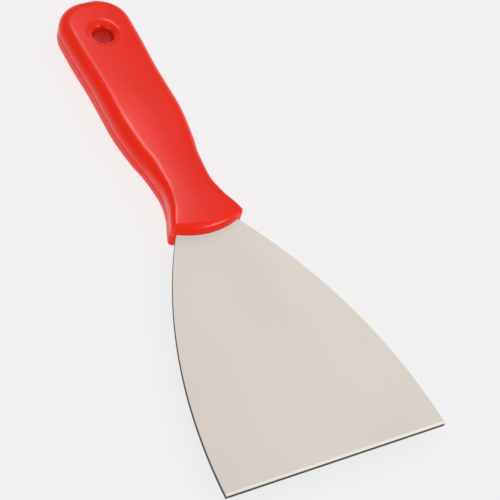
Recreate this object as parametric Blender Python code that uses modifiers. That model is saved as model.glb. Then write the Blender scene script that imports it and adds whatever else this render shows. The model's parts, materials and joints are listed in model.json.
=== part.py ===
"""Hive tool: a broad, flared stainless scraper with a plastic handle made of two halves.

The blade is one pressing with a hidden tang. The tang lies in a pocket between the handle's halves,
and two steel dowels run through it into a boss of each half. The halves meet at the blade's
mid-plane. World frame: +X along the tool to the blade's tip, +Y across it, +Z up, with the origin
under the middle of the tool, on the surface that it lies on.

Shapes are made in the tool's own frame, whose origin is the middle of the tip's edge: a point that
lies "back" from the tip is at x = -back, and z = 0 is the blade's mid-plane.
"""
import math

import bmesh
import bpy
import numpy as np

# Driving dimensions, in metres
TOOL_LENGTH = 0.252
MATING_GAP = 0.0003              # between pieces that touch

# Blade
BLADE_WIDTH = 0.100
BLADE_THICKNESS = 0.0020
BLADE_SIDE_RADIUS = 0.240        # each side is one arc
BLADE_ARC_LEAD = 0.005           # the arc's centre is this far in front of the tip
SHOULDER_BACK = 0.1215           # where the blade steps in to the tang
TANG_END_BACK = 0.1900
TANG_WIDTH = 0.0150
TANG_CORNER_RADIUS = 0.003

# Dowels through the tang
PIN_BACKS = {"tang_pin_front": 0.150, "tang_pin_rear": 0.178}
PIN_DIAMETER = 0.006
PIN_LENGTH = 0.0084
PIN_CHAMFER = 0.0005
BOSS_DIAMETER = 0.011

# Handle, seen from above: half its width at a distance back from the tip
HANDLE_FRONT_BACK = 0.1168
FRONT_ARC_RADIUS = 0.034         # the front edge bulges toward the tip
FRONT_ARC_HALF_WIDTH = 0.0143
FRONT_CORNER_REACH = (0.0022, 0.0004)  # from the side's end to the control point of the round corner
HALF_WIDTHS = (
    (0.1225, 0.0167),            # front corner
    (0.1270, 0.0151),
    (0.1320, 0.0131),
    (0.1420, 0.0114),            # neck
    (0.1550, 0.01265),
    (0.1660, 0.0148),
    (0.1840, 0.01635),           # palm swell
    (0.2040, 0.0161),            # waist
    (0.2280, 0.0169),
    (0.2375, 0.0169),            # where the butt's round corners start
)
# Handle, seen from the side: its height above, and its depth below, the blade's mid-plane
UPPER_HEIGHTS = ((0.1168, 0.0066), (0.130, 0.0073), (0.144, 0.0070), (0.160, 0.0070),
                 (0.185, 0.0078), (0.206, 0.0074), (0.228, 0.0069), (0.252, 0.0071))
LOWER_DEPTHS = ((0.1168, 0.0063), (0.130, 0.0061), (0.144, 0.0065), (0.160, 0.0077),
                (0.185, 0.0086), (0.204, 0.0090), (0.252, 0.0090))
REST_DEPTH = 0.0090              # the flat underside that the handle rests on
# Radius of the round edge between each face and the sides, at a distance back
UPPER_FILLETS = ((0.1168, 0.0022), (0.126, 0.0024), (0.145, 0.0033), (0.162, 0.0050), (0.252, 0.0050))
LOWER_FILLETS = ((0.1168, 0.0012), (0.126, 0.0018), (0.145, 0.0033), (0.162, 0.0050), (0.252, 0.0050))
SMALLEST_FILLET = 0.0003         # in the cavity, where the wall uses up the rest
UPPER_CROWN = 0.0005
WALL = 0.0025
RIB_THICKNESS = 0.0016
RIB_BACKS = (0.134, 0.164, 0.196, 0.210, 0.2435)

# Hanging hole
HOLE_BACK = 0.2303
HOLE_DIAMETER = 0.0095
DISH_DIAMETER = 0.0170
DISH_DEPTH = 0.0036
HOLE_TUBE_DIAMETER = 0.0165

CUTTER_REACH = 0.030             # longer than anything that a cutter passes through

# How finely curves are divided
ROUND_SIDES = 28
SIDE_STEPS = 22                  # along each side of the blade
CORNER_STEPS = 5
BUTT_STEPS = 7
FLANK_STEPS = 26                 # along each side of the handle
FRONT_STEPS = 6
HANDLE_COLUMNS = 17              # points across the handle's face
CAVITY_COLUMNS = 9

BLADE_STEEL = ("satin_steel", (0.66, 0.63, 0.60), 0.38, 1.0)
DOWEL_STEEL = ("ground_steel", (0.55, 0.55, 0.56), 0.25, 1.0)
RED_PLASTIC = ("red_plastic", (0.78, 0.045, 0.030), 0.33, 0.0)


def clear_scene():
    for thing in list(bpy.data.objects):
        bpy.data.objects.remove(thing, do_unlink=True)


def make_collection(name):
    collection = bpy.data.collections.new(name)
    bpy.context.scene.collection.children.link(collection)
    return collection


def make_material(name, colour, roughness, metallic):
    material = bpy.data.materials.new(name)
    material.use_nodes = True
    shader = material.node_tree.nodes["Principled BSDF"]
    shader.inputs["Base Color"].default_value = (*colour, 1.0)
    shader.inputs["Roughness"].default_value = roughness
    shader.inputs["Metallic"].default_value = metallic
    return material


def add_object(name, data, collection, parent, location=(0.0, 0.0, 0.0)):
    thing = bpy.data.objects.new(name, data)
    collection.objects.link(thing)
    thing.parent = parent
    thing.location = location
    if collection.name.endswith("cutters"):
        thing.hide_render = True
        thing.display_type = "WIRE"
    return thing


def mesh_from(build, name):
    """Runs a function that fills a bmesh, and returns the finished mesh with its faces outward."""
    shape = bmesh.new()
    build(shape)
    bmesh.ops.remove_doubles(shape, verts=shape.verts, dist=1e-7)
    bmesh.ops.recalc_face_normals(shape, faces=shape.faces)
    mesh = bpy.data.meshes.new(name)
    shape.to_mesh(mesh)
    shape.free()
    return mesh


def boolean(target, cutter, operation="DIFFERENCE"):
    modifier = target.modifiers.new(f"{operation.lower()}_{cutter.name}", "BOOLEAN")
    modifier.operation = operation
    modifier.solver = "EXACT"
    modifier.object = cutter


def smooth_through(stations, at):
    """A smooth curve through (position, value) stations that never swings past their values."""
    positions, values = np.array(stations).T
    rises = np.diff(values) / np.diff(positions)
    slopes = np.concatenate((rises[:1], np.zeros(len(rises) - 1), rises[-1:]))
    before, after = rises[:-1], rises[1:]
    same_way = before * after > 0
    slopes[1:-1][same_way] = 2 * before[same_way] * after[same_way] / (before + after)[same_way]
    at = np.clip(at, positions[0], positions[-1])
    span = np.clip(np.searchsorted(positions, at, side="right") - 1, 0, len(positions) - 2)
    length = positions[span + 1] - positions[span]
    t = (at - positions[span]) / length
    return ((2 * t**3 - 3 * t**2 + 1) * values[span] + (t**3 - 2 * t**2 + t) * length * slopes[span]
            + (3 * t**2 - 2 * t**3) * values[span + 1] + (t**3 - t**2) * length * slopes[span + 1])


def arc_points(centre, radius, start, stop, steps):
    """Points on an arc, in order, angles in degrees."""
    return [(centre[0] + radius * math.cos(math.radians(angle)),
             centre[1] + radius * math.sin(math.radians(angle)))
            for angle in np.linspace(start, stop, steps + 1)]


# --- Blade -----------------------------------------------------------------------------------------

def blade_half_width(back):
    arc_centre = BLADE_WIDTH / 2 - math.sqrt(BLADE_SIDE_RADIUS**2 - BLADE_ARC_LEAD**2)
    return arc_centre + math.sqrt(BLADE_SIDE_RADIUS**2 - (back + BLADE_ARC_LEAD)**2)


def blade_outline(grow):
    """The blade and its tang seen from above, grown on all sides, from the tip's +Y corner round."""
    half_tang = TANG_WIDTH / 2 + grow
    corner = TANG_CORNER_RADIUS + grow
    shoulder_x = -SHOULDER_BACK - grow
    side = [(-back, blade_half_width(back) + grow)
            for back in np.linspace(0.0, SHOULDER_BACK, SIDE_STEPS + 1)]
    side[0] = (grow, side[0][1])
    side[-1] = (shoulder_x, side[-1][1])
    end_centre = (-TANG_END_BACK - grow + corner, half_tang - corner)
    tang = [(shoulder_x, half_tang)] + arc_points(end_centre, corner, 90, 180, CORNER_STEPS)
    upper = side + tang
    return upper + [(x, -y) for x, y in reversed(upper)]


def blade_curve(name, grow, with_holes):
    """A flat 2D curve, extruded to the blade's thickness."""
    curve = bpy.data.curves.new(name, "CURVE")
    curve.dimensions = "2D"
    curve.fill_mode = "BOTH"
    curve.extrude = BLADE_THICKNESS / 2 + grow
    loops = [blade_outline(grow)]
    if with_holes:
        hole_radius = PIN_DIAMETER / 2 + MATING_GAP
        loops += [arc_points((-back, 0.0), hole_radius, 0, 360, ROUND_SIDES)[:-1]
                  for back in PIN_BACKS.values()]
    for loop in loops:
        spline = curve.splines.new("POLY")
        spline.points.add(len(loop) - 1)
        spline.use_cyclic_u = True
        for point, (x, y) in zip(spline.points, loop):
            point.co = (x, y, 0.0, 1.0)
    return curve


def curve_to_mesh_object(curve_object, collection, parent):
    """Replaces a curve object with a closed mesh object of the same name."""
    name = curve_object.name
    bpy.context.view_layer.update()
    evaluated = curve_object.evaluated_get(bpy.context.evaluated_depsgraph_get())
    mesh = bpy.data.meshes.new_from_object(evaluated)
    shape = bmesh.new()
    shape.from_mesh(mesh)
    bmesh.ops.remove_doubles(shape, verts=shape.verts, dist=1e-6)
    bmesh.ops.recalc_face_normals(shape, faces=shape.faces)
    shape.to_mesh(mesh)
    shape.free()
    bpy.data.objects.remove(curve_object, do_unlink=True)
    return add_object(name, mesh, collection, parent)


# --- Handle ----------------------------------------------------------------------------------------

def handle_half_outline(inset):
    """One side of the handle's outline as (x, y) points from the butt to the middle of the front."""
    butt_start, butt_half_width = HALF_WIDTHS[-1]
    butt_radius = TOOL_LENGTH - butt_start
    butt = arc_points((-butt_start, butt_half_width - butt_radius), butt_radius, 180, 90, BUTT_STEPS)
    backs = np.linspace(butt_start, HALF_WIDTHS[0][0], FLANK_STEPS + 1)[1:]
    side = list(zip(-backs, smooth_through(HALF_WIDTHS, backs)))
    arc_centre = -HANDLE_FRONT_BACK - FRONT_ARC_RADIUS
    swing = math.degrees(math.asin(FRONT_ARC_HALF_WIDTH / FRONT_ARC_RADIUS))
    front = arc_points((arc_centre, 0.0), FRONT_ARC_RADIUS, swing, 0, FRONT_STEPS)
    points = np.array(butt + side + corner_points(side[-1], front[0]) + front)
    if inset == 0:
        return points
    tangents = np.gradient(points, axis=0)
    tangents[-1] = (0.0, -1.0)
    tangents[0] = (0.0, 1.0)
    tangents /= np.linalg.norm(tangents, axis=1)[:, None]
    outward = np.column_stack((-tangents[:, 1], tangents[:, 0]))
    moved = points - outward * inset
    moved[:, 1] = np.maximum(moved[:, 1], 0.0)
    # In a tight corner the moved points would cross over; those lie too near the outline
    return moved[distance_to_outline(moved, points) > inset * 0.98]


def corner_points(side_end, front_start):
    """The handle's round front corner, as a curve from its side to its front edge."""
    side_end, front_start = np.array(side_end), np.array(front_start)
    control = side_end + FRONT_CORNER_REACH
    return [tuple((1 - t)**2 * side_end + 2 * t * (1 - t) * control + t**2 * front_start)
            for t in np.linspace(0.0, 1.0, CORNER_STEPS)[1:-1]]


def distance_to_outline(points, outline):
    """The distance from each point to the closed outline made by one side and its mirror image."""
    mirrored = outline[::-1] * (1.0, -1.0)
    loop = np.vstack((outline, mirrored, outline[:1]))
    starts, runs = loop[:-1], np.diff(loop, axis=0)
    lengths = np.maximum((runs**2).sum(axis=1), 1e-18)
    offsets = points[:, None, :] - starts[None, :, :]
    along = np.clip((offsets * runs).sum(axis=2) / lengths, 0.0, 1.0)
    return np.linalg.norm(offsets - along[..., None] * runs, axis=2).min(axis=1)


def half_solid(heights, fillets, inset, crown, side, columns):
    """Returns a function that builds one half of the handle, or of its cavity.

    Rows run across the handle at the outline's points. A round edge joins the face to the sides,
    whose lower edge is at the parting plane.
    """
    outline = handle_half_outline(inset)
    fractions = np.sin(np.linspace(-math.pi / 2, math.pi / 2, columns))

    def build(shape):
        grid = np.array([[(x, y * f) for f in fractions] for x, y in outline])
        flat = grid.reshape(-1, 2)
        fillet = np.maximum(smooth_through(fillets, -flat[:, 0]) - inset, SMALLEST_FILLET)
        depth = np.minimum(distance_to_outline(flat, outline), fillet)
        top = smooth_through(heights, -flat[:, 0]) - inset
        across = (grid[..., 1] / np.maximum(np.abs(outline[:, 1:2]), 1e-9)).ravel()
        level = top - fillet + np.sqrt(fillet**2 - (fillet - depth)**2)
        level += crown * (1 - across**2) * depth / fillet
        rows = [[shape.verts.new((x, y, side * z)) for (x, y), z in zip(row, levels)]
                for row, levels in zip(grid, level.reshape(grid.shape[:2]))]
        base = side * MATING_GAP / 2 if inset == 0 else -side * MATING_GAP
        edges = [[shape.verts.new((x, sign * y, base)) for x, y in outline] for sign in (-1, 1)]
        for near, far in zip(rows, rows[1:]):
            for column in range(columns - 1):
                shape.faces.new((near[column], near[column + 1], far[column + 1], far[column]))
        for edge, column in zip(edges, (0, -1)):
            for index in range(len(rows) - 1):
                shape.faces.new((rows[index][column], rows[index + 1][column],
                                 edge[index + 1], edge[index]))
        shape.faces.new((edges[0][0], *rows[0], edges[1][0]))
        shape.faces.new(edges[0] + edges[1][::-1])

    return build


def cylinder(shape, centre, diameter, low, high, sides=ROUND_SIDES):
    ring = bmesh.ops.create_cone(shape, cap_ends=True, segments=sides, radius1=diameter / 2,
                                 radius2=diameter / 2, depth=high - low)
    bmesh.ops.translate(shape, verts=ring["verts"], vec=(*centre, (low + high) / 2))


def build_bosses(shape):
    """Solid posts left standing in the cavity, round the dowels and the hanging hole."""
    for back in PIN_BACKS.values():
        cylinder(shape, (-back, 0.0), BOSS_DIAMETER, -CUTTER_REACH, CUTTER_REACH)
    cylinder(shape, (-HOLE_BACK, 0.0), HOLE_TUBE_DIAMETER, -CUTTER_REACH, CUTTER_REACH)


def build_ribs(shape):
    for back in RIB_BACKS:
        block = bmesh.ops.create_cube(shape, size=1.0)["verts"]
        bmesh.ops.scale(shape, verts=block, vec=(RIB_THICKNESS, 2 * CUTTER_REACH, 2 * CUTTER_REACH))
        bmesh.ops.translate(shape, verts=block, vec=(-back, 0.0, 0.0))


def build_pin_sockets(shape):
    for back in PIN_BACKS.values():
        reach = PIN_LENGTH / 2 + MATING_GAP
        cylinder(shape, (-back, 0.0), PIN_DIAMETER + 2 * MATING_GAP, -reach, reach)


def level_at(heights, back):
    return float(smooth_through(heights, np.array([back]))[0])


def add_hole_cutter(collection, parent):
    """A turned shape: the bore, with a round-bottomed dish where it meets each face."""
    top = level_at(UPPER_HEIGHTS, HOLE_BACK) + UPPER_CROWN
    bottom = -REST_DEPTH
    bore, rim = HOLE_DIAMETER / 2, DISH_DIAMETER / 2

    def dish(face, inward):
        """From the rim at the face down the round side of the dish to the bore."""
        return [(bore + (rim - bore) * (1 - math.sin(angle)),
                 face + inward * DISH_DEPTH * (1 - math.cos(angle)))
                for angle in np.linspace(0.0, math.pi / 2, CORNER_STEPS + 1)]

    profile = [(0.0, CUTTER_REACH), (rim, CUTTER_REACH)] + dish(top, -1)
    profile += dish(bottom, 1)[::-1] + [(rim, -CUTTER_REACH), (0.0, -CUTTER_REACH)]
    mesh = bpy.data.meshes.new("hanging_hole_cutter")
    mesh.from_pydata([(radius, 0.0, height) for radius, height in profile],
                     [(index, index + 1) for index in range(len(profile) - 1)], [])
    cutter = add_object("hanging_hole_cutter", mesh, collection, parent, (-HOLE_BACK, 0.0, 0.0))
    screw = cutter.modifiers.new("turn", "SCREW")
    screw.steps = screw.render_steps = ROUND_SIDES
    screw.use_merge_vertices = True
    screw.merge_threshold = 1e-6
    return cutter


def add_handle_half(name, heights, fillets, crown, side, cutters, parts, parent, material):
    """One moulded half: its outer form less a ribbed cavity and the cuts both halves share."""
    cavity_form = half_solid(heights, fillets, WALL, 0.0, side, CAVITY_COLUMNS)
    cavity_mesh = mesh_from(cavity_form, f"{name}_cavity")
    cavity = add_object(f"{name}_cavity", cavity_mesh, cutters["collection"], parent)
    boolean(cavity, cutters["ribs"])
    boolean(cavity, cutters["bosses"])
    mesh = mesh_from(half_solid(heights, fillets, 0.0, crown, side, HANDLE_COLUMNS), name)
    half = add_object(name, mesh, parts, parent)
    half.data.materials.append(material)
    for cutter in (cavity, cutters["blade_pocket"], cutters["pin_sockets"], cutters["hanging_hole"]):
        boolean(half, cutter)
    return half


# --- Assembly --------------------------------------------------------------------------------------

def add_cutters(collection, parent):
    pocket_curve = blade_curve("blade_pocket", MATING_GAP, False)
    pocket = add_object("blade_pocket", pocket_curve, collection, parent)
    cutters = {
        "collection": collection,
        "blade_pocket": curve_to_mesh_object(pocket, collection, parent),
        "hanging_hole": add_hole_cutter(collection, parent),
    }
    builders = {"ribs": build_ribs, "bosses": build_bosses, "pin_sockets": build_pin_sockets}
    for name, build in builders.items():
        cutters[name] = add_object(name, mesh_from(build, name), collection, parent)
    return cutters


def add_blade(collection, parent):
    blade = add_object("blade", blade_curve("blade", 0.0, True), collection, parent)
    blade.data.materials.append(make_material(*BLADE_STEEL))


def add_pins(collection, parent):
    steel = make_material(*DOWEL_STEEL)

    def build(shape):
        cylinder(shape, (0.0, 0.0), PIN_DIAMETER, -PIN_LENGTH / 2, PIN_LENGTH / 2)

    mesh = mesh_from(build, "tang_pin")
    mesh.materials.append(steel)
    mesh.shade_smooth()
    mesh.set_sharp_from_angle(angle=math.radians(40))
    for name, back in PIN_BACKS.items():
        pin = add_object(name, mesh, collection, parent, (-back, 0.0, 0.0))
        bevel = pin.modifiers.new("chamfer", "BEVEL")
        bevel.width = PIN_CHAMFER
        bevel.segments = 1
        bevel.limit_method = "ANGLE"


def main():
    clear_scene()
    parts = make_collection("hive_tool")
    cutter_collection = make_collection("hive_tool_cutters")
    tip = bpy.data.objects.new("blade_tip", None)
    tip.location = (TOOL_LENGTH / 2, 0.0, REST_DEPTH)
    parts.objects.link(tip)

    add_blade(parts, tip)
    add_pins(parts, tip)
    cutters = add_cutters(cutter_collection, tip)
    plastic = make_material(*RED_PLASTIC)
    upper = ("handle_upper_half", UPPER_HEIGHTS, UPPER_FILLETS, UPPER_CROWN, 1)
    lower = ("handle_lower_half", LOWER_DEPTHS, LOWER_FILLETS, 0.0, -1)
    for shape in (upper, lower):
        half = add_handle_half(*shape, cutters, parts, tip, plastic)
        half.data.shade_smooth()
        half.data.set_sharp_from_angle(angle=math.radians(35))


main()
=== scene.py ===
"""Looks of the hive tool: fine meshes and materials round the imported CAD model.

Every piece is made in the tool's own frame (a point that lies "back" from the blade's tip is at
x = -back, and z = 0 is the blade's mid-plane) and is then moved to where the CAD model has the tip.
"""
import json
import math

import bmesh
import bpy
import numpy as np
from mathutils import Matrix, Vector


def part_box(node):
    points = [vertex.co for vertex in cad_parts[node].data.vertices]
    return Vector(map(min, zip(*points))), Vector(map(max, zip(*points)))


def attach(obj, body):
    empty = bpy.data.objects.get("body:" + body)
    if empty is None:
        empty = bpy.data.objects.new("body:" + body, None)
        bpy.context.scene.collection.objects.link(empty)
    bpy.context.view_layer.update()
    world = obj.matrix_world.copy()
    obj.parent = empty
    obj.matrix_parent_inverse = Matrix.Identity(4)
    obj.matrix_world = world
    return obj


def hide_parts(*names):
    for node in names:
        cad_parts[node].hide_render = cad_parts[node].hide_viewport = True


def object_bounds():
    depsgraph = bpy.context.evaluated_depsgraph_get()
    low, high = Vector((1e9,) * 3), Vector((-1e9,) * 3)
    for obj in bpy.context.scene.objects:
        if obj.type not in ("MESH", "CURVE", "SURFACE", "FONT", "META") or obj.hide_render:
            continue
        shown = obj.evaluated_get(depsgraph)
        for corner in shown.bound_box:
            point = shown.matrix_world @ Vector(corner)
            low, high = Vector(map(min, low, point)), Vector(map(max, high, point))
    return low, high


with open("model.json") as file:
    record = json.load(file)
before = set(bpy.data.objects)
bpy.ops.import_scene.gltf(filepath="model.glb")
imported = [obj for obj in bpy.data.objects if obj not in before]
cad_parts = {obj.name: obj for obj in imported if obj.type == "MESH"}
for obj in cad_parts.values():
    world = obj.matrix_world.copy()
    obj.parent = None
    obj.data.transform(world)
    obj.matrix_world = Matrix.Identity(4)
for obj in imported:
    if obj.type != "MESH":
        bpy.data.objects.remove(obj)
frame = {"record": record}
CAD_LOW, CAD_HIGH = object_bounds()


# --- Places and sizes read from the CAD model --------------------------------------------------------

BLADE_LOW, BLADE_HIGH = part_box("blade")
UPPER_LOW, UPPER_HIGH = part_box("handle_upper_half")
LOWER_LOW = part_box("handle_lower_half")[0]
TIP = Vector((BLADE_HIGH.x, 0.0, (BLADE_LOW.z + BLADE_HIGH.z) / 2))
TOOL_LENGTH = BLADE_HIGH.x - UPPER_LOW.x
HANDLE_FRONT_BACK = BLADE_HIGH.x - UPPER_HIGH.x
BLADE_HALF_WIDTH = BLADE_HIGH.y
BLADE_THICKNESS = BLADE_HIGH.z - BLADE_LOW.z
REST_DEPTH = TIP.z - LOWER_LOW.z


def pin_place(node):
    """How far back a dowel stands, and its radius and half length."""
    low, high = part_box(node)
    return TIP.x - (low.x + high.x) / 2, (high.y - low.y) / 2, (high.z - low.z) / 2


PIN_NODES = ("tang_pin_front", "tang_pin_rear")
PIN_PLACES = [pin_place(node) for node in PIN_NODES]
HOLE_BOX = frame["record"]["physics"]["openings"][0]["box_m"]
HOLE_BACK = TIP.x - (HOLE_BOX[0][0] + HOLE_BOX[1][0]) / 2

# --- The design's own sizes, as in the CAD model, in metres ------------------------------------------

BLADE_SIDE_RADIUS = 0.240
BLADE_ARC_LEAD = 0.005
SHOULDER_BACK = 0.1215
TANG_END_BACK = TIP.x - BLADE_LOW.x
TANG_WIDTH = 0.0150
TANG_CORNER_RADIUS = 0.003

FRONT_ARC_RADIUS = 0.034
FRONT_ARC_HALF_WIDTH = 0.0143
HALF_WIDTHS = (
    (0.1225, 0.0167),
    (0.1270, 0.0151),
    (0.1320, 0.0131),
    (0.1420, 0.0114),
    (0.1550, 0.01265),
    (0.1660, 0.0148),
    (0.1840, 0.01635),
    (0.2040, 0.0161),
    (0.2280, 0.0169),
    (0.2375, 0.0169),
)
UPPER_HEIGHTS = ((0.1168, 0.0066), (0.130, 0.0073), (0.144, 0.0070), (0.160, 0.0070),
                 (0.185, 0.0078), (0.206, 0.0074), (0.228, 0.0069), (0.252, 0.0071))
LOWER_DEPTHS = ((0.1168, 0.0063), (0.130, 0.0061), (0.144, 0.0065), (0.160, 0.0077),
                (0.185, 0.0086), (0.204, 0.0090), (0.252, 0.0090))
UPPER_FILLETS = ((0.1168, 0.0022), (0.126, 0.0024), (0.145, 0.0033), (0.162, 0.0050), (0.252, 0.0050))
LOWER_FILLETS = ((0.1168, 0.0012), (0.126, 0.0018), (0.145, 0.0033), (0.162, 0.0050), (0.252, 0.0050))
SMALLEST_FILLET = 0.0003
FRONT_CORNER_REACH = (0.0022, 0.0004)
UPPER_CROWN = 0.0005
WALL = 0.0025
RIB_THICKNESS = 0.0016
RIB_BACKS = (0.134, 0.164, 0.196, 0.210, 0.2435)
BOSS_DIAMETER = 0.011
HOLE_DIAMETER = 0.0095
DISH_DIAMETER = 0.0170
DISH_DEPTH = 0.0036
HOLE_TUBE_DIAMETER = 0.0165

# Fine detail that only the looks have
FIT_GAP = 0.00003                # how closely the visible pieces meet
PARTING_CHAMFER = 0.00012        # each half's edge at the parting line
EDGE_ROUND = 0.00010             # the blade's broken edges
LAND_LENGTH = 0.0012             # the ground strip along the tip, on both faces
LAND_DEPTH = 0.00005
LAND_BLEND = 0.0001              # how softly the ground strip's brighter look starts
RELIEF_DEPTH = 0.0007            # the groove in the handle's front where the blade comes out
RELIEF_HEIGHT = 0.0007
RELIEF_HALF_WIDTH = 0.0146
CUTTER_REACH = 0.030

# How finely the shapes are drawn
BLADE_SIDE_STEPS = 72
BLADE_CORNER_STEPS = 10
PIN_HOLE_STEPS = 48
HOLE_STEPS = 96
OUTLINE_DETAIL = 3               # the outline's points, as a multiple of the cavity's
HANDLE_COLUMNS = 49
CAVITY_COLUMNS = 11
BLADE_SHARP_ANGLE = 15
HANDLE_SHARP_ANGLE = 35


# --- Small helpers -----------------------------------------------------------------------------------

def smooth_through(stations, at):
    """A smooth curve through (position, value) stations that never swings past their values."""
    positions, values = np.array(stations).T
    rises = np.diff(values) / np.diff(positions)
    slopes = np.concatenate((rises[:1], np.zeros(len(rises) - 1), rises[-1:]))
    before, after = rises[:-1], rises[1:]
    same_way = before * after > 0
    slopes[1:-1][same_way] = (2 * before * after / (before + after + 1e-30))[same_way]
    at = np.clip(at, positions[0], positions[-1])
    span = np.clip(np.searchsorted(positions, at, side="right") - 1, 0, len(positions) - 2)
    length = positions[span + 1] - positions[span]
    t = (at - positions[span]) / length
    return ((2 * t**3 - 3 * t**2 + 1) * values[span] + (t**3 - 2 * t**2 + t) * length * slopes[span]
            + (3 * t**2 - 2 * t**3) * values[span + 1] + (t**3 - t**2) * length * slopes[span + 1])


def arc_points(centre, radius, start, stop, steps):
    return [(centre[0] + radius * math.cos(math.radians(angle)),
             centre[1] + radius * math.sin(math.radians(angle)))
            for angle in np.linspace(start, stop, steps + 1)]


def outward_normals(outline):
    """Unit normals to one side of the handle's outline, which starts and ends on the centre line."""
    tangents = np.gradient(outline, axis=0)
    tangents /= np.maximum(np.linalg.norm(tangents, axis=1)[:, None], 1e-12)
    normals = np.column_stack((-tangents[:, 1], tangents[:, 0]))
    normals[0], normals[-1] = (-1.0, 0.0), (1.0, 0.0)
    return normals


def mesh_object(name, shape):
    """Makes an object of a bmesh, with its faces outward, and frees the bmesh."""
    bmesh.ops.recalc_face_normals(shape, faces=shape.faces)
    mesh = bpy.data.meshes.new(name)
    shape.to_mesh(mesh)
    shape.free()
    thing = bpy.data.objects.new(name, mesh)
    bpy.context.scene.collection.objects.link(thing)
    return thing


def shade(thing, sharp_degrees):
    thing.data.shade_smooth()
    thing.data.set_sharp_from_angle(angle=math.radians(sharp_degrees))


def apply_modifiers(thing):
    """Replaces an object's mesh with the evaluated one, and clears its modifiers."""
    bpy.context.view_layer.update()
    evaluated = thing.evaluated_get(bpy.context.evaluated_depsgraph_get())
    mesh = bpy.data.meshes.new_from_object(evaluated)
    thing.modifiers.clear()
    thing.data = mesh


def cut(thing, cutter):
    """Subtracts a cutter, which is then removed."""
    modifier = thing.modifiers.new("cut", "BOOLEAN")
    modifier.operation = "DIFFERENCE"
    modifier.solver = "EXACT"
    modifier.object = cutter
    apply_modifiers(thing)
    bpy.data.objects.remove(cutter, do_unlink=True)


def place(thing):
    """Moves a piece from the tool's own frame to the CAD model's."""
    thing.data.transform(Matrix.Translation(TIP))


# --- Blade -------------------------------------------------------------------------------------------

def blade_half_width(back):
    arc_centre = BLADE_HALF_WIDTH - math.sqrt(BLADE_SIDE_RADIUS**2 - BLADE_ARC_LEAD**2)
    return arc_centre + math.sqrt(BLADE_SIDE_RADIUS**2 - (back + BLADE_ARC_LEAD)**2)


def blade_outline(grow):
    """The blade and its tang seen from above, from the tip's +Y corner round to its -Y corner."""
    half_tang = TANG_WIDTH / 2 + grow
    corner = TANG_CORNER_RADIUS + grow
    shoulder_x = -SHOULDER_BACK - grow
    side = [(-back, blade_half_width(back) + grow)
            for back in np.linspace(0.0, SHOULDER_BACK, BLADE_SIDE_STEPS + 1)]
    side[0] = (grow, side[0][1])
    side[-1] = (shoulder_x, side[-1][1])
    end_centre = (-TANG_END_BACK - grow + corner, half_tang - corner)
    tang_end = arc_points(end_centre, corner, 90, 180, BLADE_CORNER_STEPS)
    upper = side + [(shoulder_x, half_tang)] + tang_end
    return upper + [(x, -y) for x, y in reversed(upper)]


def extruded(name, loops, half_thickness):
    """A closed solid between two flat copies of an outline and its holes."""
    shape = bmesh.new()
    layers = []
    for level in (-half_thickness, half_thickness):
        rings = []
        edges = []
        for loop in loops:
            ring = [shape.verts.new((x, y, level)) for x, y in loop]
            edges += [shape.edges.new((ring[i - 1], ring[i])) for i in range(len(ring))]
            rings.append(ring)
        bmesh.ops.triangle_fill(shape, use_beauty=True, use_dissolve=True, edges=edges)
        layers.append(rings)
    for low, high in zip(*layers):
        for i in range(len(low)):
            shape.faces.new((low[i - 1], low[i], high[i], high[i - 1]))
    return mesh_object(name, shape)


def grind_tip(blade):
    """Thins the sheet a little along its tip, on both faces."""
    shape = bmesh.new()
    shape.from_mesh(blade.data)
    everything = shape.verts[:] + shape.edges[:] + shape.faces[:]
    bmesh.ops.bisect_plane(shape, geom=everything, plane_co=(-LAND_LENGTH, 0, 0), plane_no=(1, 0, 0))
    for vert in shape.verts:
        if vert.co.x > -LAND_LENGTH / 2:
            vert.co.z -= math.copysign(LAND_DEPTH, vert.co.z)
    shape.to_mesh(blade.data)
    shape.free()


def make_blade():
    loops = [blade_outline(0.0)]
    for back, radius, _ in PIN_PLACES:
        loops.append(arc_points((-back, 0.0), radius + FIT_GAP, 0, 360, PIN_HOLE_STEPS)[:-1])
    blade = extruded("blade_sheet", loops, BLADE_THICKNESS / 2)
    grind_tip(blade)
    bevel = blade.modifiers.new("broken_edges", "BEVEL")
    bevel.width = EDGE_ROUND
    bevel.segments = 2
    bevel.limit_method = "ANGLE"
    bevel.angle_limit = math.radians(50)
    apply_modifiers(blade)
    shade(blade, BLADE_SHARP_ANGLE)
    place(blade)
    return blade


# --- Handle ------------------------------------------------------------------------------------------

def handle_half_outline(detail):
    """One side of the handle's outline as (x, y) points from the butt to the middle of the front."""
    butt_start, butt_half_width = HALF_WIDTHS[-1]
    butt_radius = TOOL_LENGTH - butt_start
    butt = arc_points((-butt_start, butt_half_width - butt_radius), butt_radius, 180, 90, 7 * detail)
    backs = np.linspace(butt_start, HALF_WIDTHS[0][0], 26 * detail + 1)[1:]
    side = list(zip(-backs, smooth_through(HALF_WIDTHS, backs)))
    swing = math.degrees(math.asin(FRONT_ARC_HALF_WIDTH / FRONT_ARC_RADIUS))
    arc_centre = -HANDLE_FRONT_BACK - FRONT_ARC_RADIUS
    front = arc_points((arc_centre, 0.0), FRONT_ARC_RADIUS, swing, 0, 6 * detail)
    start, end = np.array(side[-1]), np.array(front[0])
    control = start + FRONT_CORNER_REACH
    corner = [tuple((1 - t)**2 * start + 2 * t * (1 - t) * control + t**2 * end)
              for t in np.linspace(0.0, 1.0, 3 * detail + 2)[1:-1]]
    return np.array(butt + side + corner + front)


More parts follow.
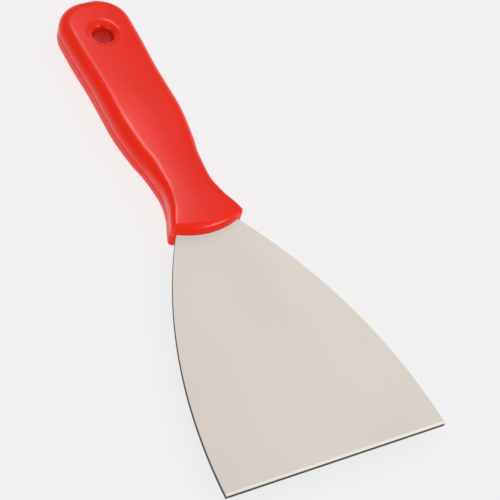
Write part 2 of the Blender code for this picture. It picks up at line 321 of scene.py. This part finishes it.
def distance_to_outline(points, outline):
    """The distance from each point to the closed outline made by one side and its mirror image."""
    loop = np.vstack((outline, outline[::-1] * (1.0, -1.0), outline[:1]))
    starts, runs = loop[:-1], np.diff(loop, axis=0)
    lengths = np.maximum((runs**2).sum(axis=1), 1e-18)
    nearest = np.full(len(points), 1e9)
    for start, run, length in zip(starts, runs, lengths):
        offset = points - start
        along = np.clip(offset @ run / length, 0.0, 1.0)
        nearest = np.minimum(nearest, np.linalg.norm(offset - along[:, None] * run, axis=1))
    return nearest


def inset_outline(outline, inset):
    """An outline moved inward, less the points that would cross over in a tight corner."""
    moved = outline - outward_normals(outline) * inset
    moved[:, 1] = np.maximum(moved[:, 1], 0.0)
    return moved[distance_to_outline(moved, outline) > inset * 0.98]


def face_levels(points, outline, heights, fillets, drop, crown):
    """How high the handle's face stands at each point, with a round edge down to its side."""
    fillet = np.maximum(smooth_through(fillets, -points[:, 0]) - drop, SMALLEST_FILLET)
    depth = np.minimum(distance_to_outline(points, outline), fillet)
    half_width = np.interp(points[:, 0], outline[:, 0], outline[:, 1])
    across = points[:, 1] / np.maximum(half_width, 1e-9)
    top = smooth_through(heights, -points[:, 0]) - drop
    level = top - fillet + np.sqrt(fillet**2 - (fillet - depth)**2)
    return level + crown * (1 - np.clip(across, -1, 1)**2) * depth / fillet


def half_form(name, outline, heights, fillets, side, columns, drop=0.0, crown=0.0, base=0.0,
              chamfer=0.0):
    """One half of the handle, or of its cavity, as a closed solid standing on the parting plane."""
    fractions = np.sin(np.linspace(-math.pi / 2, math.pi / 2, columns))
    grid = np.array([[(x, y * f) for f in fractions] for x, y in outline])
    levels = face_levels(grid.reshape(-1, 2), outline, heights, fillets, drop, crown)
    levels = levels.reshape(grid.shape[:2])
    shape = bmesh.new()
    rows = [[shape.verts.new((x, y, side * z)) for (x, y), z in zip(row, row_levels)]
            for row, row_levels in zip(grid, levels)]
    for near, far in zip(rows, rows[1:]):
        for column in range(columns - 1):
            shape.faces.new((near[column], near[column + 1], far[column + 1], far[column]))

    loop = [(x, -y) for x, y in outline[::-1]] + [tuple(p) for p in outline]
    ring = [row[0] for row in rows[::-1]] + [row[-1] for row in rows]
    butt_row = rows[0]
    normals = np.vstack((outward_normals(outline)[::-1] * (1, -1), outward_normals(outline)))
    steps = [(base + chamfer * 1.6, 0.0), (base + chamfer * 0.5, chamfer * 0.35), (base, chamfer)]
    if not chamfer:
        steps = [(base, 0.0)]
    previous = ring
    for level, inward in steps:
        current = [shape.verts.new((x - n[0] * inward, y - n[1] * inward, side * level))
                   for (x, y), n in zip(loop, normals)]
        half = len(outline)
        for i in range(len(loop) - 1):
            if i != half - 1:
                shape.faces.new((previous[i], previous[i + 1], current[i + 1], current[i]))
        if previous is ring:
            shape.faces.new((previous[half - 1], *butt_row[1:-1], previous[half],
                             current[half], current[half - 1]))
        else:
            shape.faces.new((previous[half - 1], previous[half], current[half], current[half - 1]))
        previous = current
    shape.faces.new(previous)
    bmesh.ops.remove_doubles(shape, verts=shape.verts, dist=1e-7)
    return mesh_object(name, shape)


def cylinder(name, back, radius, low, high, sides=64):
    shape = bmesh.new()
    made = bmesh.ops.create_cone(shape, cap_ends=True, segments=sides, radius1=radius,
                                 radius2=radius, depth=high - low)
    bmesh.ops.translate(shape, verts=made["verts"], vec=(-back, 0.0, (low + high) / 2))
    return mesh_object(name, shape)


def rib_block(back):
    shape = bmesh.new()
    block = bmesh.ops.create_cube(shape, size=1.0)["verts"]
    bmesh.ops.scale(shape, verts=block, vec=(RIB_THICKNESS, 2 * CUTTER_REACH, 2 * CUTTER_REACH))
    bmesh.ops.translate(shape, verts=block, vec=(-back, 0.0, 0.0))
    return mesh_object("rib", shape)


def hole_cutter(top, bottom):
    """A turned cutter: the hanging hole, which rolls out into each face."""
    bore, rim = HOLE_DIAMETER / 2, DISH_DIAMETER / 2

    def roll(face, inward):
        return [(bore + (rim - bore) * (1 - math.sin(angle)),
                 face + inward * DISH_DEPTH * (1 - math.cos(angle)))
                for angle in np.linspace(0.0, math.pi / 2, 13)]

    profile = [(0.0, CUTTER_REACH), (rim, CUTTER_REACH)] + roll(top, -1)
    profile += roll(-bottom, 1)[::-1] + [(rim, -CUTTER_REACH), (0.0, -CUTTER_REACH)]
    shape = bmesh.new()
    verts = [shape.verts.new((radius, 0.0, height)) for radius, height in profile]
    for pair in zip(verts, verts[1:]):
        shape.edges.new(pair)
    cutter = mesh_object("hanging_hole_cutter", shape)
    screw = cutter.modifiers.new("turn", "SCREW")
    screw.steps = screw.render_steps = HOLE_STEPS
    screw.use_merge_vertices = True
    screw.merge_threshold = 1e-6
    apply_modifiers(cutter)
    cutter.data.transform(Matrix.Translation((-HOLE_BACK, 0.0, 0.0)))
    return cutter


def relief_outline():
    """The groove round the blade where it comes out, bounded behind by an arc along the front edge."""
    radius = FRONT_ARC_RADIUS - RELIEF_DEPTH
    swing = math.degrees(math.asin(RELIEF_HALF_WIDTH / radius))
    arc = arc_points((-HANDLE_FRONT_BACK - FRONT_ARC_RADIUS, 0.0), radius, -swing, swing, 40)
    ahead = arc[-1][0] + CUTTER_REACH
    return arc + [(ahead, RELIEF_HALF_WIDTH), (ahead, -RELIEF_HALF_WIDTH)]


def level_at(heights, back):
    return float(smooth_through(heights, np.array([back]))[0])


def make_handle_half(name, heights, fillets, crown, side):
    """One moulded half, hollow and ribbed inside as the CAD model's is."""
    fine = handle_half_outline(OUTLINE_DETAIL)
    half = half_form(name, fine, heights, fillets, side, HANDLE_COLUMNS, crown=crown,
                     base=FIT_GAP, chamfer=PARTING_CHAMFER)

    coarse = inset_outline(handle_half_outline(1), WALL)
    cavity = half_form("cavity", coarse, heights, fillets, side, CAVITY_COLUMNS, drop=WALL,
                       base=-WALL / 8)
    for back in RIB_BACKS:
        cut(cavity, rib_block(back))
    for back, _, _ in PIN_PLACES:
        cut(cavity, cylinder("boss", back, BOSS_DIAMETER / 2, -CUTTER_REACH, CUTTER_REACH, 32))
    cut(cavity, cylinder("tube", HOLE_BACK, HOLE_TUBE_DIAMETER / 2, -CUTTER_REACH, CUTTER_REACH))
    cut(half, cavity)

    pocket_outline = blade_outline(FIT_GAP)
    cut(half, extruded("pocket", [pocket_outline], BLADE_THICKNESS / 2 + FIT_GAP))
    cut(half, extruded("relief", [relief_outline()], BLADE_THICKNESS / 2 + RELIEF_HEIGHT))
    for back, radius, reach in PIN_PLACES:
        reach += FIT_GAP
        cut(half, cylinder("socket", back, radius + FIT_GAP, -reach, reach, 32))
    top = level_at(UPPER_HEIGHTS, HOLE_BACK) + UPPER_CROWN
    cut(half, hole_cutter(top, REST_DEPTH))
    shade(half, HANDLE_SHARP_ANGLE)
    place(half)
    return half


def make_pin(node):
    """A ground dowel with chamfered ends."""
    back, radius, reach = pin_place(node)
    pin = cylinder(node + "_dowel", back, radius, -reach, reach, 48)
    bevel = pin.modifiers.new("chamfer", "BEVEL")
    bevel.width = radius / 6
    bevel.segments = 2
    bevel.limit_method = "ANGLE"
    apply_modifiers(pin)
    shade(pin, 40)
    place(pin)
    return pin


# --- Materials ---------------------------------------------------------------------------------------

NOISE_LOW, NOISE_HIGH = 0.3, 0.7     # most of a noise texture's values lie between these


class Nodes:
    """A material's node tree, with short calls to add and join nodes."""

    def __init__(self, name):
        self.material = bpy.data.materials.new(name)
        self.material.use_nodes = True
        self.tree = self.material.node_tree
        self.shader = self.tree.nodes["Principled BSDF"]

    def add(self, kind, **inputs):
        node = self.tree.nodes.new(kind)
        for key, value in inputs.items():
            socket = node.inputs[key.replace("_", " ")]
            if isinstance(value, bpy.types.NodeSocket):
                self.tree.links.new(value, socket)
            else:
                socket.default_value = value
        return node

    def coordinates(self, scale):
        """Object coordinates, stretched along an axis where its scale is low."""
        place_node = self.add("ShaderNodeTexCoord")
        mapping = self.add("ShaderNodeMapping", Vector=place_node.outputs["Object"], Scale=scale)
        return mapping.outputs["Vector"]

    def noise(self, scale_xyz, detail=3.0, roughness=0.5, scale=1.0):
        node = self.add("ShaderNodeTexNoise", Vector=self.coordinates(scale_xyz), Scale=scale,
                        Detail=detail, Roughness=roughness)
        return node.outputs["Fac"]

    def remap(self, value, low, high, to_low, to_high):
        node = self.add("ShaderNodeMapRange", Value=value, From_Min=low, From_Max=high,
                        To_Min=to_low, To_Max=to_high)
        return node.outputs["Result"]

    def spread(self, noise, to_low, to_high):
        """Stretches the usual values of a noise texture over a range."""
        return self.remap(noise, NOISE_LOW, NOISE_HIGH, to_low, to_high)

    def mix(self, factor, first, second):
        node = self.tree.nodes.new("ShaderNodeMix")
        node.data_type = "RGBA"
        self.tree.links.new(factor, node.inputs[0])
        for index, value in ((6, first), (7, second)):
            if isinstance(value, bpy.types.NodeSocket):
                self.tree.links.new(value, node.inputs[index])
            else:
                node.inputs[index].default_value = (*value, 1.0)
        return node.outputs[2]

    def bump(self, height, strength, distance, normal=None):
        node = self.add("ShaderNodeBump", Height=height, Strength=strength, Distance=distance)
        if normal is not None:
            self.tree.links.new(normal, node.inputs["Normal"])
        return node.outputs["Normal"]

    def to_shader(self, **sockets):
        for key, value in sockets.items():
            socket = self.shader.inputs[key.replace("_", " ")]
            if isinstance(value, bpy.types.NodeSocket):
                self.tree.links.new(value, socket)
            else:
                socket.default_value = value
        return self.material


def red_plastic():
    """Semi-gloss moulded plastic with a faint texture and slight flow marks."""
    n = Nodes("red_plastic")
    clouds = n.noise((30, 60, 60), detail=2.0)
    colour = n.mix(n.spread(clouds, 0.0, 1.0), (0.77, 0.015, 0.003), (0.81, 0.018, 0.004))
    fine = n.noise((1500, 1500, 1500), detail=2.0)
    waves = n.noise((60, 120, 120), detail=1.0)
    roughness = n.spread(n.noise((200, 200, 200), detail=3.0), 0.27, 0.31)
    relief = n.bump(waves, 0.10, 0.0006)
    relief = n.bump(fine, 0.05, 0.00004, relief)
    return n.to_shader(Base_Color=colour, Roughness=roughness, Normal=relief, Specular_IOR_Level=0.24)


def satin_steel():
    """Stainless sheet with a fine grain along the tool, and a brighter ground strip along its tip."""
    n = Nodes("satin_steel")
    grain = n.noise((40, 5200, 40), detail=4.0, roughness=0.6)
    broad = n.noise((12, 30, 30), detail=2.0)
    colour = n.mix(n.spread(broad, 0.0, 1.0), (0.79, 0.722, 0.66), (0.83, 0.762, 0.70))
    along = n.add("ShaderNodeSeparateXYZ", Vector=n.coordinates((1, 1, 1))).outputs["X"]
    land_start = TIP.x - LAND_LENGTH
    land = n.remap(along, land_start - LAND_BLEND, land_start, 0.0, 1.0)
    colour = n.mix(land, colour, (1.0, 0.95, 0.89))
    roughness = n.spread(grain, 0.38, 0.43)
    relief = n.bump(grain, 0.04, 0.00003)
    return n.to_shader(Base_Color=colour, Metallic=1.0, Roughness=roughness, Normal=relief)


def ground_steel():
    """Dowel steel, with grinding marks round it."""
    n = Nodes("ground_steel")
    marks = n.noise((60, 60, 4000), detail=3.0)
    roughness = n.spread(marks, 0.22, 0.34)
    relief = n.bump(marks, 0.1, 0.00003)
    colour = n.mix(marks, (0.52, 0.52, 0.53), (0.60, 0.60, 0.61))
    return n.to_shader(Base_Color=colour, Metallic=1.0, Roughness=roughness, Normal=relief)


def pale_floor():
    """A light table: its own glow keeps the shadows on it faint."""
    n = Nodes("pale_floor")
    tone = n.noise((3, 3, 3), detail=2.0)
    colour = n.mix(tone, (0.215, 0.215, 0.215), (0.225, 0.225, 0.225))
    return n.to_shader(Base_Color=colour, Roughness=0.9, Specular_IOR_Level=0.0,
                       Emission_Color=(1.0, 1.0, 1.0, 1.0), Emission_Strength=FLOOR_GLOW)


# --- Studio ------------------------------------------------------------------------------------------

FLOOR_HALF_SIZE = 3.0
FLOOR_GLOW = 0.796
SKY_AT_HORIZON = 0.26
SKY_OVERHEAD = 0.45
SKY_RAMP_TOP = 0.75              # the sine of the elevation at which the sky is at its brightest
SKY_TILT = 0.10                  # how much brighter the sky is toward +Y
CAMERA_TARGET = TIP + Vector((-0.10446, 0.01283, 0.0))
CAMERA_DISTANCE = 0.84047
CAMERA_AZIMUTH = -40.96          # degrees from +X, where the camera stands
CAMERA_ELEVATION = 50.69
CAMERA_ROLL = 18.30
CAMERA_LENS = 144.0              # mm, on a 36 mm wide sensor
HANDLE_AIM = (-0.170, 0.0, 0.0)  # where the handle's softboxes point, from the tip
BLADE_AIM = (0.0, 0.32, 0.0)     # where the blade's own softbox points, from the tip
SOFTBOXES = {                    # azimuth, elevation, distance, width, height, power in watts
    "key_softbox": (168.6, 62.0, 1.2, 0.40, 0.40, 6.6),
    "front_softbox": (28.0, 16.0, 1.2, 0.50, 0.50, 7.0),
    "side_softbox": (-65.0, 10.0, 1.2, 1.0, 0.5, 6.5),
    "blade_softbox": (139.0, 50.7, 1.4, 1.3, 1.3, 3.1),
}


def make_floor():
    shape = bmesh.new()
    bmesh.ops.create_grid(shape, x_segments=1, y_segments=1, size=FLOOR_HALF_SIZE)
    floor = mesh_object("floor", shape)
    floor.location.z = CAD_LOW.z
    floor.data.materials.append(pale_floor())
    return floor


def direction(azimuth, elevation):
    """A unit vector toward a place, azimuth in degrees from +X."""
    a, e = math.radians(azimuth), math.radians(elevation)
    return Vector((math.cos(a) * math.cos(e), math.sin(a) * math.cos(e), math.sin(e)))


def make_camera():
    back = direction(CAMERA_AZIMUTH, CAMERA_ELEVATION)
    level_right = Vector((0, 0, 1)).cross(back).normalized()
    level_up = back.cross(level_right)
    roll = math.radians(CAMERA_ROLL)
    right = level_right * math.cos(roll) + level_up * math.sin(roll)
    up = back.cross(right)
    data = bpy.data.cameras.new("camera")
    data.lens = CAMERA_LENS
    data.sensor_width = 36.0
    camera = bpy.data.objects.new("camera", data)
    bpy.context.scene.collection.objects.link(camera)
    axes = Matrix((right, up, back)).transposed().to_4x4()
    camera.matrix_world = Matrix.Translation(CAMERA_TARGET + back * CAMERA_DISTANCE) @ axes
    bpy.context.scene.camera = camera


def add_softbox(name, aim):
    azimuth, elevation, distance, width, height, power = SOFTBOXES[name]
    toward = direction(azimuth, elevation)
    data = bpy.data.lights.new(name, "AREA")
    data.shape = "RECTANGLE"
    data.size, data.size_y, data.energy = width, height, power
    lamp = bpy.data.objects.new(name, data)
    bpy.context.scene.collection.objects.link(lamp)
    lamp.location = TIP + Vector(aim) + toward * distance
    lamp.rotation_mode = "QUATERNION"
    lamp.rotation_quaternion = toward.to_track_quat("Z", "Y")
    return lamp


def make_sky():
    """A white sky, dimmer toward the horizon and a little brighter toward +Y."""
    world = bpy.data.worlds.new("studio")
    bpy.context.scene.world = world
    world.use_nodes = True
    tree = world.node_tree
    place_node = tree.nodes.new("ShaderNodeTexCoord")
    split = tree.nodes.new("ShaderNodeSeparateXYZ")
    tree.links.new(place_node.outputs["Generated"], split.inputs["Vector"])
    level = tree.nodes.new("ShaderNodeMapRange")
    level.inputs["From Max"].default_value = SKY_RAMP_TOP
    level.inputs["To Min"].default_value = SKY_AT_HORIZON
    level.inputs["To Max"].default_value = SKY_OVERHEAD
    tree.links.new(split.outputs["Z"], level.inputs["Value"])
    tilt = tree.nodes.new("ShaderNodeMath")
    tilt.operation = "MULTIPLY_ADD"
    tilt.use_clamp = True
    tree.links.new(split.outputs["Y"], tilt.inputs[0])
    tilt.inputs[1].default_value = SKY_TILT
    tree.links.new(level.outputs["Result"], tilt.inputs[2])
    background = tree.nodes["Background"]
    background.inputs["Color"].default_value = (1.0, 1.0, 1.0, 1.0)
    tree.links.new(tilt.outputs["Value"], background.inputs["Strength"])
    bpy.context.scene.view_settings.view_transform = "Standard"


# --- The tool ----------------------------------------------------------------------------------------

def finish_piece(piece, node, material):
    piece.data.materials.clear()
    piece.data.materials.append(material)
    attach(piece, "root")
    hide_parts(node)


def make_tool():
    plastic = red_plastic()
    blade = make_blade()
    finish_piece(blade, "blade", satin_steel())
    upper = make_handle_half("handle_upper_shell", UPPER_HEIGHTS, UPPER_FILLETS, UPPER_CROWN, 1)
    finish_piece(upper, "handle_upper_half", plastic)
    lower = make_handle_half("handle_lower_shell", LOWER_DEPTHS, LOWER_FILLETS, 0.0, -1)
    finish_piece(lower, "handle_lower_half", plastic)
    pin_steel = ground_steel()
    for node in PIN_NODES:
        finish_piece(make_pin(node), node, pin_steel)
    return blade, (upper, lower)


def limit_light(source, pieces, state):
    """Makes a light, or the floor's glow, fall only on some pieces, or on all but some."""
    receivers = bpy.data.collections.new(source.name + "_receivers")
    source.light_linking.receiver_collection = receivers
    for piece in pieces:
        receivers.objects.link(piece)
    for entry in receivers.collection_objects:
        entry.light_linking.link_state = state


make_camera()
make_sky()
key_softbox = add_softbox("key_softbox", HANDLE_AIM)
front_softbox = add_softbox("front_softbox", HANDLE_AIM)
side_softbox = add_softbox("side_softbox", HANDLE_AIM)
blade_softbox = add_softbox("blade_softbox", BLADE_AIM)
floor = make_floor()
blade, handle_halves = make_tool()
limit_light(key_softbox, handle_halves, "INCLUDE")
limit_light(front_softbox, handle_halves, "INCLUDE")
limit_light(side_softbox, [blade, *handle_halves], "INCLUDE")
limit_light(blade_softbox, [blade], "INCLUDE")
limit_light(floor, [blade], "EXCLUDE")
handle_halves[0].visible_glossy = False     # the satin sheet shows next to nothing of the handle
